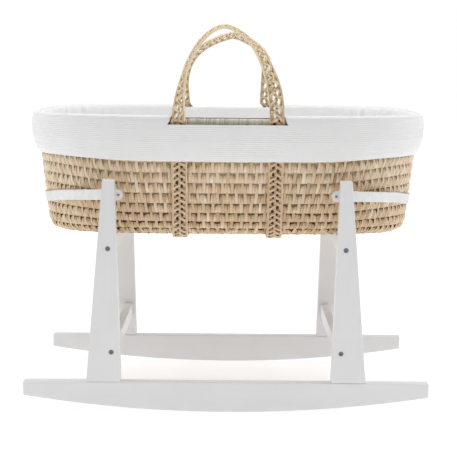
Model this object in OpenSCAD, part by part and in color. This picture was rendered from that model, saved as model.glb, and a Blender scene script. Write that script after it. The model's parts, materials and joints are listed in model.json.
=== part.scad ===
// Rocking stand with a woven carry basket strapped into it.
// Millimetres, +Z up, +X along the rockers, -Y towards the viewer.
// The origin is on the floor, under the middle of the stand.

/* [Side frames] */
// Length of each rocker
rocker_l = 834; // [700:1:1000]
// Height of a rocker in the middle
rocker_h = 63; // [50:1:90]
// Height of a rocker at its ends
rocker_end_h = 30; // [15:1:45]
// Short flats that make up the curved sole, an odd number
sole_flats = 27; // [15:2:41]
// Thickness of the rocker and leg boards
board_t = 25; // [20:1:35]
// Height of a leg above its rocker
leg_h = 416; // [380:1:480]
// Width of a leg at its foot
leg_base_w = 71; // [60:1:90]
// Width of a leg at its top
leg_top_w = 24; // [18:1:40]
// Clear distance between the feet of the two legs on one rocker
leg_gap = 432; // [360:1:500]
// How far a leg's inner edge leans outwards on its way up
leg_rake = 12; // [0:1:30]
// Gap between a leg and the widest part of the basket beside it
leg_clear = 1; // [0.5:0.1:10]

/* [Cross rails] */
// Width of a rail
rail_w = 19; // [16:1:30]
// Height of a rail
rail_h = 32; // [30:1:45]
// Distance from a leg's inner edge to a rail's middle
rail_inset = 17.3; // [12:0.1:24]
// Depth of the upper rails' top, where the basket sits, below the legs' tops
seat_drop = 124; // [100:1:150]
// Height of the lower rails' middle above the rockers
lower_rail_h = 62; // [50:1:120]

/* [Fasteners] */
// Diameter of a rail bolt
bolt_d = 6; // [5:0.5:8]
// Diameter of a bolt's head
bolt_head_d = 10; // [9:0.5:13]
// Height of a bolt's head
bolt_head_h = 5; // [4:0.5:8]
// How far a bolt's head sits below the face of its leg
bolt_sink = 0.6; // [0.2:0.1:2]
// Hexagon socket in a bolt's head, across its corners
socket_d = 5.8; // [4:0.1:7]
// Depth of the hexagon socket
socket_depth = 3; // [2:0.5:3.5]
// Diameter of a barrel nut
nut_d = 10; // [9:0.5:12]
// Length of a barrel nut
nut_l = 16; // [12:1:18]
// Distance from a rail's end to its barrel nut
nut_depth = 28; // [24:1:40]
// Diameter of a rail's locating dowel
rail_dowel_d = 8; // [6:1:9]
// Length of a rail's locating dowel
rail_dowel_l = 30; // [20:1:36]
// Distance from the bolt down to the locating dowel
rail_dowel_drop = 9.5; // [8:0.5:11]
// Diameter of a leg's dowel
leg_dowel_d = 10; // [8:1:12]
// Length of a leg's dowel
leg_dowel_l = 50; // [30:1:60]
// Distance between the two dowels of a leg
leg_dowel_pitch = 36; // [24:1:44]

/* [Basket straps] */
// Width of a strap
strap_w = 22; // [16:1:30]
// Thickness of a strap
strap_t = 2.2; // [1.5:0.1:4]
// Distance from a leg's top down to the middle of the strap
strap_drop = 33; // [25:1:50]
// How far a strap dips on its way round the basket's end
strap_sag = 21.5; // [0:0.5:30]
// How far a strap's end shows past the inner edge of the leg
strap_tab = 15; // [10:1:30]
// Diameter of a strap screw
screw_d = 4; // [3:0.5:5]
// Length of a strap screw in the leg
screw_l = 16; // [10:1:18]
// Diameter of a strap screw's head
screw_head_d = 8; // [6:0.5:10]
// Height of a strap screw's head
screw_head_h = 2.4; // [1.5:0.1:4]
// Diameter of a strap rivet
rivet_d = 3; // [2:0.1:4]
// Diameter of a strap rivet's head
rivet_head_d = 5; // [4.5:0.1:7]
// Height of a strap rivet's head
rivet_head_h = 1.2; // [0.8:0.1:2]
// Distance from the leg's inner edge to the rivet
rivet_inset = 5.5; // [4:0.1:7]

/* [Basket] */
// Length of the woven basket at its rim
rim_l = 826; // [760:1:880]
// Width of the woven basket at its rim
rim_w = 470; // [400:1:520]
// Length of the basket's base
base_l = 770; // [700:1:800]
// Width of the basket's base
base_w = 310; // [280:1:380]
// Height of the woven basket
basket_h = 248; // [220:1:280]
// Thickness of the woven wall
wall_t = 10; // [7:0.5:14]
// Thickness of the woven base
base_t = 10; // [7:0.5:14]
// Radius of the round edge where the wall meets the base
edge_r = 25; // [12:1:35]
// Height of the bound rim
rim_h = 15; // [10:1:22]
// Distance from the middle to a carry band
band_x = 98; // [80:1:130]
// Width of a carry band
band_w = 32; // [24:1:36]
// Thickness of a carry band
band_t = 7; // [5:0.5:10]

/* [Handles] */
// Height of a handle's arch above its root
handle_h = 176; // [120:1:220]
// Width of the handle's braid
handle_w = 32; // [24:1:36]
// Thickness of the handle's braid
handle_t = 9; // [6:0.5:12]
// How far the rounded root stands out from the handle's braid
knuckle_over = 0.5; // [0.3:0.1:2]
// How far a handle leans inwards, in degrees
handle_lean = 6; // [0:0.5:20]

/* [Liner] */
// Height of the ribbed skirt
skirt_h = 94; // [60:1:130]
// Thickness of the skirt
skirt_t = 3.5; // [2:0.5:6]
// How far the skirt stands off the wall at the basket's ends
skirt_end_gap = 4; // [1:0.5:12]
// How far the skirt bulges outwards between its hem and its fold
skirt_bulge = 1.4; // [0:0.1:5]
// Height of the soft fold over the rim
fold_h = 5.5; // [3:0.5:10]
// Length of the slot that lets a handle out
slot_l = 238; // [236:1:300]
// Depth of the slot below the top of the fold
slot_d = 14; // [10:1:30]
// Gap between the wall and the inner lining
lining_gap = 1.2; // [1:0.1:4]
// Thickness of the inner lining
lining_t = 2.5; // [1.5:0.5:5]
// Gathers in the lining at each end
gathers = 11; // [5:1:15]
// Height of a gather at the top of the lining
gather_h = 4.5; // [2:0.5:7]

/* [Mattress] */
// Thickness of the mattress at its edge
mattress_t = 32; // [20:1:50]
// How far the middle of the mattress rises above its edge
mattress_crown = 9; // [4:1:20]
// How far the mattress's side is drawn in
mattress_draw = 3; // [1:0.5:6]
// Gap between the mattress and the lining's gathers
mattress_gap = 1.2; // [0.5:0.1:6]

/* [Hidden] */

paint = "#f3f3f1";
straw = "#d3b789";
cloth = "#fbfbfa";
steel = "#6d6f72";
beech = "#d9b98c";

// Gap between soft or moving pieces, radial gap in a drilled hole, overrun of a cut
clear = 0.3;
hole_clear = 0.15;
over = 2;

// Roundness of the basket's plan: 2 is an ellipse, more is squarer
base_power = 3.1;
rim_power = 2.7;

// Roundness of each handle's arch, sideways and upwards: 2 and 2 make an ellipse
front_arch_powers = [1.75, 2];
rear_arch_powers = [1.2, 5];

// Points round the basket, steps up its round edge, and steps along the handles and straps
oval_n = 64;
skirt_n = 96;
edge_steps = 4;
handle_steps = 44;
strap_steps = 20;
round_n = 48;

// Heights of the stand
leg_top = rocker_h + leg_h;
seat_h = leg_top - seat_drop;
upper_rail_z = seat_h - rail_h / 2;
lower_rail_z = rocker_h + lower_rail_h;
strap_z = leg_top - strap_drop;

// Heights of the basket
base_z = seat_h + clear;
base_top = base_z + base_t;
rim_z = base_z + basket_h;
wall_top = rim_z - rim_h;
fold_top = rim_z + clear + fold_h;
slot_z = fold_top - slot_d;
hem_z = fold_top - skirt_h;

// Rise of the sole from the middle of a rocker to its ends, and its radius
sole_rise = rocker_h - rocker_end_h;
sole_r = (pow(rocker_l / 2, 2) + pow(sole_rise, 2)) / (2 * sole_rise);

// Share of the way up the basket, and the inset of its round bottom edge
function up_share(z) = min(1, max(0, (z - base_z) / basket_h));
function edge_inset(z) =
    let (h = max(0, z - base_z))
    h >= edge_r ? 0 : edge_r - sqrt(pow(edge_r, 2) - pow(edge_r - h, 2));
function half_l(z) = (base_l + (rim_l - base_l) * up_share(z)) / 2 - edge_inset(z);
function half_w(z) = (base_w + (rim_w - base_w) * up_share(z)) / 2 - edge_inset(z);
function oval_power(z) = base_power + (rim_power - base_power) * up_share(z);

// One point of the basket's plan at angle a, moved outwards by a gap, or by one at the ends and one at the sides
function oval_pt(z, gap, a) =
    let (e = 2 / oval_power(z), c = cos(a), s = sin(a), g = is_list(gap) ? gap : [gap, gap])
    [(half_l(z) + g[0]) * sign(c) * pow(abs(c), e), (half_w(z) + g[1]) * sign(s) * pow(abs(s), e), z];
function full_turn(n) = [for (i = [0 : n - 1]) 360 * i / n];
function oval(z, gap, n) = [for (a = full_turn(n)) oval_pt(z, gap, a)];

// Width of the wall's plan at a distance x from the middle
function wall_y(z, x) =
    let (p = oval_power(z))
    half_w(z) * pow(1 - pow(x / half_l(z), p), 1 / p);

// Outer face of a carry band at height z, and the skirt that lies over it
wall_slope = atan((rim_w - base_w) / 2 / basket_h);
band_in_x = band_x - band_w / 2;
band_out_x = band_x + band_w / 2;
function band_face(z) = wall_y(z, band_in_x) + clear + band_t / cos(wall_slope);
skirt_side_gap = band_face(rim_z) - wall_y(rim_z, band_out_x) + 3 * clear;
skirt_in = [skirt_end_gap, skirt_side_gap];
skirt_out = [skirt_end_gap + skirt_t, skirt_side_gap + skirt_t];

// Inner face of the side frames, clear of the basket up to the legs' tops
frame_y = half_w(leg_top) + skirt_out[1] + skirt_bulge + leg_clear;

// Edges of a leg, as a distance from the middle, at height z
function leg_share(z) = (z - rocker_h) / leg_h;
function leg_in(z) = leg_gap / 2 + leg_rake * leg_share(z);
function leg_width(z) = leg_base_w + (leg_top_w - leg_base_w) * leg_share(z);
function leg_out(z) = leg_in(z) + leg_width(z);
function rail_x(z) = leg_in(z) + rail_inset;
leg_base_x = leg_in(rocker_h) + leg_base_w / 2;

// Faces between the rings of a loft: a closed loop of rings, or a capped stack
function ring_faces(i, j, n) = [
    for (k = [0 : n - 1])
        let (l = (k + 1) % n)
        each [[i * n + k, j * n + k, j * n + l], [i * n + k, j * n + l, i * n + l]]
];
function flat_list(rings) = [for (r = rings) each r];

module loop_loft(rings) {
    m = len(rings);
    n = len(rings[0]);
    faces = [for (i = [0 : m - 1]) each ring_faces(i, (i + 1) % m, n)];
    polyhedron(points = flat_list(rings), faces = faces, convexity = 8);
}

module capped_loft(rings) {
    m = len(rings);
    n = len(rings[0]);
    sides = [for (i = [0 : m - 2]) each ring_faces(i, i + 1, n)];
    bottom = [for (k = [0 : n - 1]) k];
    top = [for (k = [n - 1 : -1 : 0]) (m - 1) * n + k];
    polyhedron(points = flat_list(rings), faces = concat([bottom], sides, [top]), convexity = 8);
}

// Copies of a front right piece at the other corners
module corner(side, face) {
    mirror([side < 0 ? 1 : 0, 0, 0])
        mirror([0, face > 0 ? 1 : 0, 0])
            children();
}

module corners() {
    for (side = [-1, 1], face = [-1, 1])
        corner(side, face) children();
}

// A cylinder that runs from a point towards the viewer
module along_y(d, l, n = round_n) {
    rotate([90, 0, 0]) cylinder(d = d, h = l, $fn = n);
}

// Side frames

function sole_z(x) = sole_r - sqrt(pow(sole_r, 2) - pow(x, 2));
function sole_x(i) = rocker_l * (i / sole_flats - 1 / 2);
sole_low = sole_z(rocker_l / sole_flats / 2);

module rocker() {
    sole = [for (i = [0 : sole_flats]) [sole_x(i), sole_z(sole_x(i)) - sole_low]];
    outline = concat(sole, [[rocker_l / 2, rocker_h], [-rocker_l / 2, rocker_h]]);
    color(paint) difference() {
        translate([0, -frame_y, 0])
            rotate([90, 0, 0]) linear_extrude(board_t) polygon(outline);
        for (side = [-1, 1]) corner(side, -1) leg_dowel_holes();
    }
}

module leg() {
    outline = [
        [leg_in(rocker_h), rocker_h], [leg_out(rocker_h), rocker_h],
        [leg_out(leg_top), leg_top], [leg_in(leg_top), leg_top]
    ];
    color(paint) difference() {
        translate([0, -frame_y, 0])
            rotate([90, 0, 0]) linear_extrude(board_t) polygon(outline);
        leg_dowel_holes();
        for (z = [upper_rail_z, lower_rail_z]) leg_rail_holes(z);
        strap_screw_hole();
    }
}

module leg_dowel_places() {
    for (s = [-1, 1])
        translate([leg_base_x + s * leg_dowel_pitch / 2, -frame_y - board_t / 2, rocker_h])
            children();
}

module leg_dowel_holes() {
    leg_dowel_places()
        cylinder(d = leg_dowel_d + 2 * hole_clear, h = leg_dowel_l + 2 * hole_clear, center = true, $fn = round_n);
}

// Bolt hole with a sunk seat for the head, and a blind hole for the dowel below it
head_seat = board_t - bolt_head_h - bolt_sink;
rail_dowel_out = board_t / 2;

module leg_rail_holes(z) {
    translate([rail_x(z), -frame_y + over, z])
        along_y(bolt_d + 2 * hole_clear, board_t + 2 * over);
    translate([rail_x(z), -frame_y - head_seat, z])
        along_y(bolt_head_d + 4 * hole_clear, board_t);
    translate([rail_x(z), -frame_y + over, z - rail_dowel_drop])
        along_y(rail_dowel_d + 2 * hole_clear, rail_dowel_out + hole_clear + over);
}

// Cross rails

module rail(z) {
    color(paint) difference() {
        translate([rail_x(z) - rail_w / 2, -frame_y, z - rail_h / 2])
            cube([rail_w, 2 * frame_y, rail_h]);
        for (face = [-1, 1]) corner(1, face) rail_end_holes(z);
    }
}

bolt_reach = nut_depth + nut_d / 2 + over;
rail_dowel_in = rail_dowel_l - rail_dowel_out;

module rail_end_holes(z) {
    translate([rail_x(z), -frame_y + bolt_reach + hole_clear, z])
        along_y(bolt_d + 2 * hole_clear, bolt_reach + hole_clear + over);
    translate([rail_x(z), -frame_y + nut_depth, z - rail_h / 2 - over])
        cylinder(d = nut_d + 2 * hole_clear, h = rail_h / 2 + nut_l / 2 + hole_clear + over, $fn = round_n);
    translate([rail_x(z), -frame_y + rail_dowel_in + hole_clear, z - rail_dowel_drop])
        along_y(rail_dowel_d + 2 * hole_clear, rail_dowel_in + hole_clear + over);
}

// Fasteners of the frame

module rail_bolt(z) {
    translate([rail_x(z), -frame_y - head_seat, z]) difference() {
        union() {
            along_y(bolt_head_d, bolt_head_h);
            translate([0, head_seat + bolt_reach, 0])
                along_y(bolt_d, head_seat + bolt_reach + bolt_head_h / 2);
        }
        translate([0, socket_depth - bolt_head_h, 0])
            along_y(socket_d, bolt_head_h, 6);
    }
}

module rail_bolts() {
    color(steel) corners() {
        rail_bolt(upper_rail_z);
        rail_bolt(lower_rail_z);
    }
}

module barrel_nut(z) {
    translate([rail_x(z), -frame_y + nut_depth, z]) difference() {
        cylinder(d = nut_d, h = nut_l, center = true, $fn = round_n);
        translate([0, nut_d, 0]) along_y(bolt_d + 2 * hole_clear, 2 * nut_d);
    }
}

module barrel_nuts() {
    color(steel) corners() {
        barrel_nut(upper_rail_z);
        barrel_nut(lower_rail_z);
    }
}

module rail_dowel(z) {
    translate([rail_x(z), -frame_y + rail_dowel_in, z - rail_dowel_drop])
        along_y(rail_dowel_d, rail_dowel_l);
}

module rail_dowels() {
    color(beech) corners() {
        rail_dowel(upper_rail_z);
        rail_dowel(lower_rail_z);
    }
}

module leg_dowels() {
    color(beech) corners()
        leg_dowel_places()
            cylinder(d = leg_dowel_d, h = leg_dowel_l, center = true, $fn = round_n);
}

// Basket straps: flat along the leg, straight to the basket's end, then round it

strap_leg_x = leg_out(strap_z);
strap_end_x = leg_in(strap_z) - strap_tab;
strap_screw_x = (leg_in(strap_z) + leg_out(strap_z)) / 2;
strap_rivet_x = leg_in(strap_z) - rivet_inset;
strap_mid_z = strap_z - strap_sag / 2;

// Where the straight run from the leg first touches the basket
function run_turn(a) =
    let (p = oval_pt(strap_mid_z, clear, a))
    atan2(p[1] + frame_y - strap_t, p[0] - strap_leg_x);
touch_angles = [for (i = [1 : 60]) -i * 85 / 60];
touch_turns = [for (a = touch_angles) run_turn(a)];
touch_a = touch_angles[search(min(touch_turns), touch_turns)[0]];

// Four corners of the strap's section, on a leg and on the basket
function strap_ring_leg(x, h_share) =
    let (h = strap_w / 2 * h_share, out = -frame_y, in = strap_t - frame_y)
    [[x, out, strap_z - h], [x, in, strap_z - h], [x, in, strap_z + h], [x, out, strap_z + h]];
function strap_ring_wall(a) =
    let (z = strap_z - strap_sag * (1 + cos(90 * a / touch_a)) / 2, h = strap_w / 2)
    [
        oval_pt(z - h, clear + strap_t, a), oval_pt(z - h, clear, a),
        oval_pt(z + h, clear, a), oval_pt(z + h, clear + strap_t, a)
    ];

// The strap's end is a half circle, made of steps in its height
tab_round_shares = [0.02, 0.1, 0.3, 0.6, 1];
function tab_height_share(s) = max(tab_round_shares[0], sqrt(1 - pow(1 - s, 2)));

function flip_y(ring) = [for (p = ring) [p[0], -p[1], p[2]]];
function backwards(list) = [for (i = [len(list) - 1 : -1 : 0]) list[i]];

strap_front = concat(
    [for (s = tab_round_shares) strap_ring_leg(strap_end_x + s * strap_w / 2, tab_height_share(s))],
    [strap_ring_leg(strap_leg_x, 1)],
    [for (i = [0 : strap_steps - 1]) strap_ring_wall(touch_a * (1 - i / strap_steps))]
);
strap_rings = concat(strap_front, [strap_ring_wall(0)], backwards([for (r = strap_front) flip_y(r)]));

module strap() {
    color(cloth) difference() {
        capped_loft([for (r = strap_rings) backwards(r)]);
        for (face = [-1, 1]) corner(1, face) {
            strap_screw_hole();
            translate([strap_rivet_x, -frame_y + strap_t + over, strap_z])
                along_y(rivet_d + 2 * hole_clear, strap_t + 2 * over);
        }
    }
}

module strap_screw_hole() {
    translate([strap_screw_x, -frame_y + strap_t + over, strap_z])
        along_y(screw_d + 2 * hole_clear, screw_l + hole_clear + strap_t + over);
}

module strap_screws() {
    color(steel) corners() translate([strap_screw_x, -frame_y + strap_t, strap_z]) {
        translate([0, screw_head_h, 0]) along_y(screw_head_d, screw_head_h);
        translate([0, screw_head_h / 2, 0]) along_y(screw_d, screw_head_h / 2 + strap_t + screw_l);
    }
}

module strap_rivets() {
    color(steel) corners() translate([strap_rivet_x, -frame_y, strap_z]) {
        along_y(rivet_head_d, rivet_head_h);
        translate([0, strap_t + rivet_head_h, 0]) along_y(rivet_head_d, rivet_head_h);
        translate([0, strap_t + rivet_head_h / 2, 0]) along_y(rivet_d, strap_t + rivet_head_h);
    }
}

// Woven basket

edge_heights = [for (i = [0 : edge_steps]) base_z + edge_r * (1 - cos(90 * i / edge_steps))];
wall_heights = concat(
    [for (z = edge_heights) if (z < base_top) z], [base_top],
    [for (z = edge_heights) if (z > base_top) z], [(base_z + edge_r + wall_top) / 2, wall_top]
);
base_heights = [for (z = wall_heights) if (z <= base_top) z];

module basket_base() {
    color(straw) capped_loft([for (z = base_heights) oval(z, -wall_t - clear, oval_n)]);
}

module basket_wall() {
    color(straw) loop_loft(concat(
        [for (z = wall_heights) oval(z, 0, oval_n)],
        [for (z = backwards(wall_heights)) oval(z, -wall_t, oval_n)]
    ));
}

// Section of the bound rim: shares of its width inwards and of its height
rim_section_shares = [[0, 0], [0, 0.55], [0.12, 0.85], [0.35, 1], [0.65, 1], [0.88, 0.85], [1, 0.55], [1, 0]];

module basket_rim() {
    color(straw) loop_loft([
        for (p = rim_section_shares) oval(wall_top + p[1] * rim_h, -p[0] * wall_t, oval_n)
    ]);
}

// Carry bands: up both sides of the wall and under the base
band_heights = concat([rim_z], backwards(wall_heights));

band_side = [
    for (z = band_heights) [-wall_y(z, band_in_x) - clear, z - edge_inset(z) * clear / edge_r]
];
band_inner = concat(band_side, backwards([for (p = band_side) [-p[0], p[1]]]));

function path_step(path, i) = path[min(i + 1, len(path) - 1)] - path[max(i - 1, 0)];
function path_out(path, i) =
    let (d = path_step(path, i))
    [d[1], -d[0]] / norm(d);
band_outer = [for (i = [0 : len(band_inner) - 1]) band_inner[i] + band_t * path_out(band_inner, i)];

// The handle's rounded root rolls on the upper end of the band
hinge_r = handle_t / 2 + knuckle_over;
band_end = (band_inner[0] + band_outer[0]) / 2;
band_rise = band_inner[0] - band_inner[1];
hinge = band_end + band_rise / norm(band_rise) * (hinge_r + clear);
hinge_y = -hinge[0];
hinge_z = hinge[1];

module carry_band() {
    color(straw) translate([band_in_x, 0, 0])
        rotate([90, 0, 90]) linear_extrude(band_w) polygon(concat(band_inner, backwards(band_outer)));
}

// Handles: a flat braid that stands on its edge at the top of the arch
braid_shares = [
    [1, -0.4], [1, 0.4], [0.85, 1], [-0.85, 1], [-1, 0.4], [-1, -0.4], [-0.85, -1], [0.85, -1]
];
twist_shares = [0.1, 0.9];
knuckle_l = handle_w + 2 * knuckle_over;
handle_up = [0, sin(handle_lean), cos(handle_lean)];
handle_side = [0, cos(handle_lean), -sin(handle_lean)];

function ease(s) = let (c = min(1, max(0, s))) c * c * (3 - 2 * c);
function handle_twist(rise_share) =
    90 * ease((rise_share - twist_shares[0]) / (twist_shares[1] - twist_shares[0]));

// Shares of an arch's half width and height, where s goes from -1 at its right root to 1 at its left root
function arch_shares(s, powers) =
    let (a = 90 * pow(1 - abs(s), powers[1] / 2))
    [-sign(s) * pow(cos(a), 2 / powers[0]), pow(sin(a), 2 / powers[1])];
function arch_out(p, powers) =
    let (n = [
        sign(p[0]) * powers[0] * pow(abs(p[0]), powers[0] - 1) / band_x,
        powers[1] * pow(p[1], powers[1] - 1) / handle_h
    ])
    ([1, 0, 0] * n[0] + handle_up * n[1]) / norm(n);
function handle_ring(s, powers) =
    let (
        root = [0, -hinge_y, hinge_z],
        q = arch_shares(s, powers),
        c = root + [band_x * q[0], 0, 0] + handle_up * handle_h * q[1],
        out = arch_out(q, powers),
        t = handle_twist(q[1]),
        across = out * cos(t) + handle_side * sin(t),
        through = handle_side * cos(t) - out * sin(t)
    )
    [for (p = braid_shares) c + across * p[0] * handle_w / 2 + through * p[1] * handle_t / 2];

module handle(powers) {
    color(straw) {
        capped_loft([for (i = [0 : handle_steps]) handle_ring(2 * i / handle_steps - 1, powers)]);
        for (side = [-1, 1])
            translate([side * band_x - knuckle_l / 2, -hinge_y, hinge_z])
                rotate([0, 90, 0]) cylinder(r = hinge_r, h = knuckle_l, $fn = round_n);
    }
}

// Liner: the skirt and its fold over the rim, then the lining inside
lining_out = -wall_t - lining_gap;
lining_in = lining_out - lining_t;

module liner_skirt() {
    fold_in = [lining_in, lining_in];
    fold_z = rim_z + clear;
    both = [fold_h, fold_h];
    section = [
        [skirt_in, hem_z], [skirt_out, hem_z],
        [skirt_out + [skirt_bulge, skirt_bulge], hem_z + (fold_z - hem_z) / 2],
        [skirt_out, fold_z], [skirt_out - both / 4, fold_z + fold_h * 3 / 4],
        [skirt_out - both, fold_top], [fold_in + both / 2, fold_top],
        [fold_in, fold_z + fold_h / 2], [fold_in, fold_z], [skirt_in, fold_z]
    ];
    color(cloth) difference() {
        loop_loft([for (p = section) oval(p[1], p[0], skirt_n)]);
        translate([-slot_l / 2, -rim_w, slot_z]) cube([slot_l, 2 * rim_w, slot_d + over]);
    }
}

// The lining is gathered at both ends: fine steps there, coarse steps along the sides
gather_reach = 33;
gather_steps = 6 * gathers;
side_steps = 28;
end_turns = [for (i = [0 : gather_steps - 1]) gather_reach * (2 * i / gather_steps - 1)];
side_turns = [for (i = [0 : side_steps - 1]) gather_reach + (180 - 2 * gather_reach) * i / side_steps];
lining_turns = concat(end_turns, side_turns, [for (a = concat(end_turns, side_turns)) a + 180]);

function end_turn(a) = let (b = (a + 90) % 180 - 90) b;
function gather(a, z) =
    let (b = end_turn(a), s = max(0, 1 - pow(b / gather_reach, 4)))
    gather_h * up_share(z) * s * (1 - cos(360 * gathers * (b / gather_reach + 1) / 2)) / 2;

lining_heights = [base_top + clear, base_z + edge_r, rim_z];

module liner_lining() {
    color(cloth) loop_loft(concat(
        [for (z = lining_heights) [for (a = lining_turns) oval_pt(z, lining_out, a)]],
        [for (z = backwards(lining_heights)) [for (a = lining_turns) oval_pt(z, lining_in - gather(a, z), a)]]
    ));
}

// Mattress: a pad with drawn-in sides and a crown
mattress_z = base_top + clear;
mattress_in = lining_in - gather_h * up_share(mattress_z + mattress_t) - mattress_gap;
mattress_l = half_l(mattress_z) + mattress_in;
mattress_w = half_w(mattress_z) + mattress_in;
// Share of the draw inwards, and share of the thickness
mattress_side_shares = [[1.6, 0], [0.4, 0.1], [0, 0.25], [1, 0.5], [0, 0.75], [0.4, 0.9], [1.6, 1]];
// Share of the plan, and share of the crown
mattress_top_shares = [[0.93, 0.25], [0.8, 0.62], [0.6, 0.86], [0.35, 0.97], [0.12, 1]];

function pad_ring(in, size_share, z) = [
    for (a = full_turn(oval_n))
        let (e = 2 / base_power, c = cos(a), s = sin(a))
        [
            (mattress_l - in) * size_share * sign(c) * pow(abs(c), e),
            (mattress_w - in) * size_share * sign(s) * pow(abs(s), e), z
        ]
];

module mattress() {
    edge_in = mattress_draw * mattress_side_shares[len(mattress_side_shares) - 1][0];
    color(cloth) capped_loft(concat(
        [for (p = mattress_side_shares) pad_ring(p[0] * mattress_draw, 1, mattress_z + p[1] * mattress_t)],
        [for (p = mattress_top_shares) pad_ring(edge_in, p[0], mattress_z + mattress_t + p[1] * mattress_crown)]
    ));
}

rocker();  // front_rocker
corner(1, 1) rocker();  // rear_rocker
corner(-1, -1) leg();  // front_left_leg
corner(1, -1) leg();  // front_right_leg
corner(-1, 1) leg();  // rear_left_leg
corner(1, 1) leg();  // rear_right_leg
corner(-1, -1) rail(upper_rail_z);  // left_upper_rail
corner(1, -1) rail(upper_rail_z);  // right_upper_rail
corner(-1, -1) rail(lower_rail_z);  // left_lower_rail
corner(1, -1) rail(lower_rail_z);  // right_lower_rail
rail_bolts();
barrel_nuts();
rail_dowels();
leg_dowels();
corner(-1, -1) strap();  // left_strap
corner(1, -1) strap();  // right_strap
strap_screws();
strap_rivets();
basket_base();
basket_wall();
basket_rim();
corner(-1, -1) carry_band();  // left_carry_band
corner(1, -1) carry_band();  // right_carry_band
handle(front_arch_powers);  // front_handle
corner(1, 1) handle(rear_arch_powers);  // rear_handle
liner_skirt();
liner_lining();
mattress();
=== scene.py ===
"""Looks of a rocking stand that carries a woven palm-leaf moses basket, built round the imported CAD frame."""

import json
from math import acos, cos, pi, radians, sin, sqrt

import bmesh
import bpy
import numpy as np
from mathutils import Euler, Matrix, Vector


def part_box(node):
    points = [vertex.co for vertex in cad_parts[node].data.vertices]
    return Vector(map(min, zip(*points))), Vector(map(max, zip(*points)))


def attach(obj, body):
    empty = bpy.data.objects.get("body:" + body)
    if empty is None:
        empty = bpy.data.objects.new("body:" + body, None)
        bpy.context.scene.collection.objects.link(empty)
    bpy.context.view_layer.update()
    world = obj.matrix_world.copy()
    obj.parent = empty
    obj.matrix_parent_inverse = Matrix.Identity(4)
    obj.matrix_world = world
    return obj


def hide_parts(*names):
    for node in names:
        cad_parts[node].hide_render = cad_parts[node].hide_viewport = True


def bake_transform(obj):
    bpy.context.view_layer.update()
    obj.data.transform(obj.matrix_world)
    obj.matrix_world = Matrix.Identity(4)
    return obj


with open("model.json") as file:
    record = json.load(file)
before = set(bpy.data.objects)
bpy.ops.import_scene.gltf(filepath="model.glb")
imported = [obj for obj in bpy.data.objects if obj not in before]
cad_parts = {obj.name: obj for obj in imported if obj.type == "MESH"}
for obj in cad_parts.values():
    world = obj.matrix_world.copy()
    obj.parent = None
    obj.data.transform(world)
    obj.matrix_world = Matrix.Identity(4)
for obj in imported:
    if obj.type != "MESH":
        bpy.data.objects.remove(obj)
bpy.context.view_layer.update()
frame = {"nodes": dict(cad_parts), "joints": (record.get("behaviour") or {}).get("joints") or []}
nodes = frame["nodes"]
scene = bpy.context.scene
rng = np.random.default_rng(20)

# Camera at the photograph's angle, in metres and degrees
CAMERA_PLACE = (0.003, -2.7509, 0.7196)
CAMERA_DOWN = 7.641
CAMERA_ROLL = 0.45
CAMERA_LENS = 99.03
SENSOR = 36.0

# Basket shape, as the CAD source has it
BASE_L, BASE_W = 0.770, 0.310
RIM_L, RIM_W = 0.826, 0.470
BASE_POWER, RIM_POWER = 3.1, 2.7
EDGE_R = 0.025
WALL_T = 0.010
BASE_T = 0.010
RIM_H = 0.015
CLEAR = 0.0003
BASE_Z, WALL_TOP = (corner.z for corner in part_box("basket_wall"))
RIM_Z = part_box("basket_rim")[1].z

# Rows of the weave, from the lowest on the wall
ROW_FIRST_Z = 0.3684
ROW_FIRST = 0.0172
ROW_GROWTH = 0.0016
ROW_MOST = 0.0218

# Leaves of a row: a stitch and two wraps in each period, with a dark dash of painted shade over the wraps,
# where the dark core shows
PERIOD = 0.0196
STITCH_HALVES = (0.20, 0.155)
STITCH_REACH = 0.20
STITCH_OUT = -0.0034
GROOVE = 0.0040
DASH_SHARE = 0.21
GAP_WIDE, GAP_NARROW = 0.0014, 0.0005
WRAP_SEAM = 0.0001
LEAF_POINTS = (7, 4)
LEAF_TUCK = 0.03
LEAF_CROWN = 0.0006
LEAF_CURL = 0.0004
LEAF_SEAT = 0.0003
LEAF_LOOSE = 0.00018
# Cores of the wall, base and rim, coloured dark as painted shade behind the leaves
SHADE_CORE_OUT = -0.0050
BASE_IN = -0.0075
RIM_SHADE_CORE = (-0.0014, -0.0086)

# The weave round the basket's ends: spans of x, then what changes there
END_LIFT_X = (0.19, 0.40)
END_CROWD_X = (0.20, 0.36)
END_PALE_X = (0.25, 0.37)
END_LIFT = 0.015
END_LIFT_LOW = 0.006
END_CROWD = 0.5
END_CLOSED = 0.5
# How much paler the leaves round the ends are painted, as painted light
END_PAINTED_LIGHT = 0.2

# Tones of the weave's leaves, from the base to the skirt's hem, darker low down as painted shade, and shares
# of odd colours
TONE_LOW, LOW_SHADE_RISE, TONE_SPREAD = 0.41, 0.22, 0.15
GREEN_SHARE, PINK_SHARE = 0.10, 0.12
# Heights over which the painted shade of the weave's core grows paler
SHADE_PALE_HEIGHTS = (0.385, 0.50)
# Reach of the painted shade between the plaited leaves
CREVICE_REACH = 0.004

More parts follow.
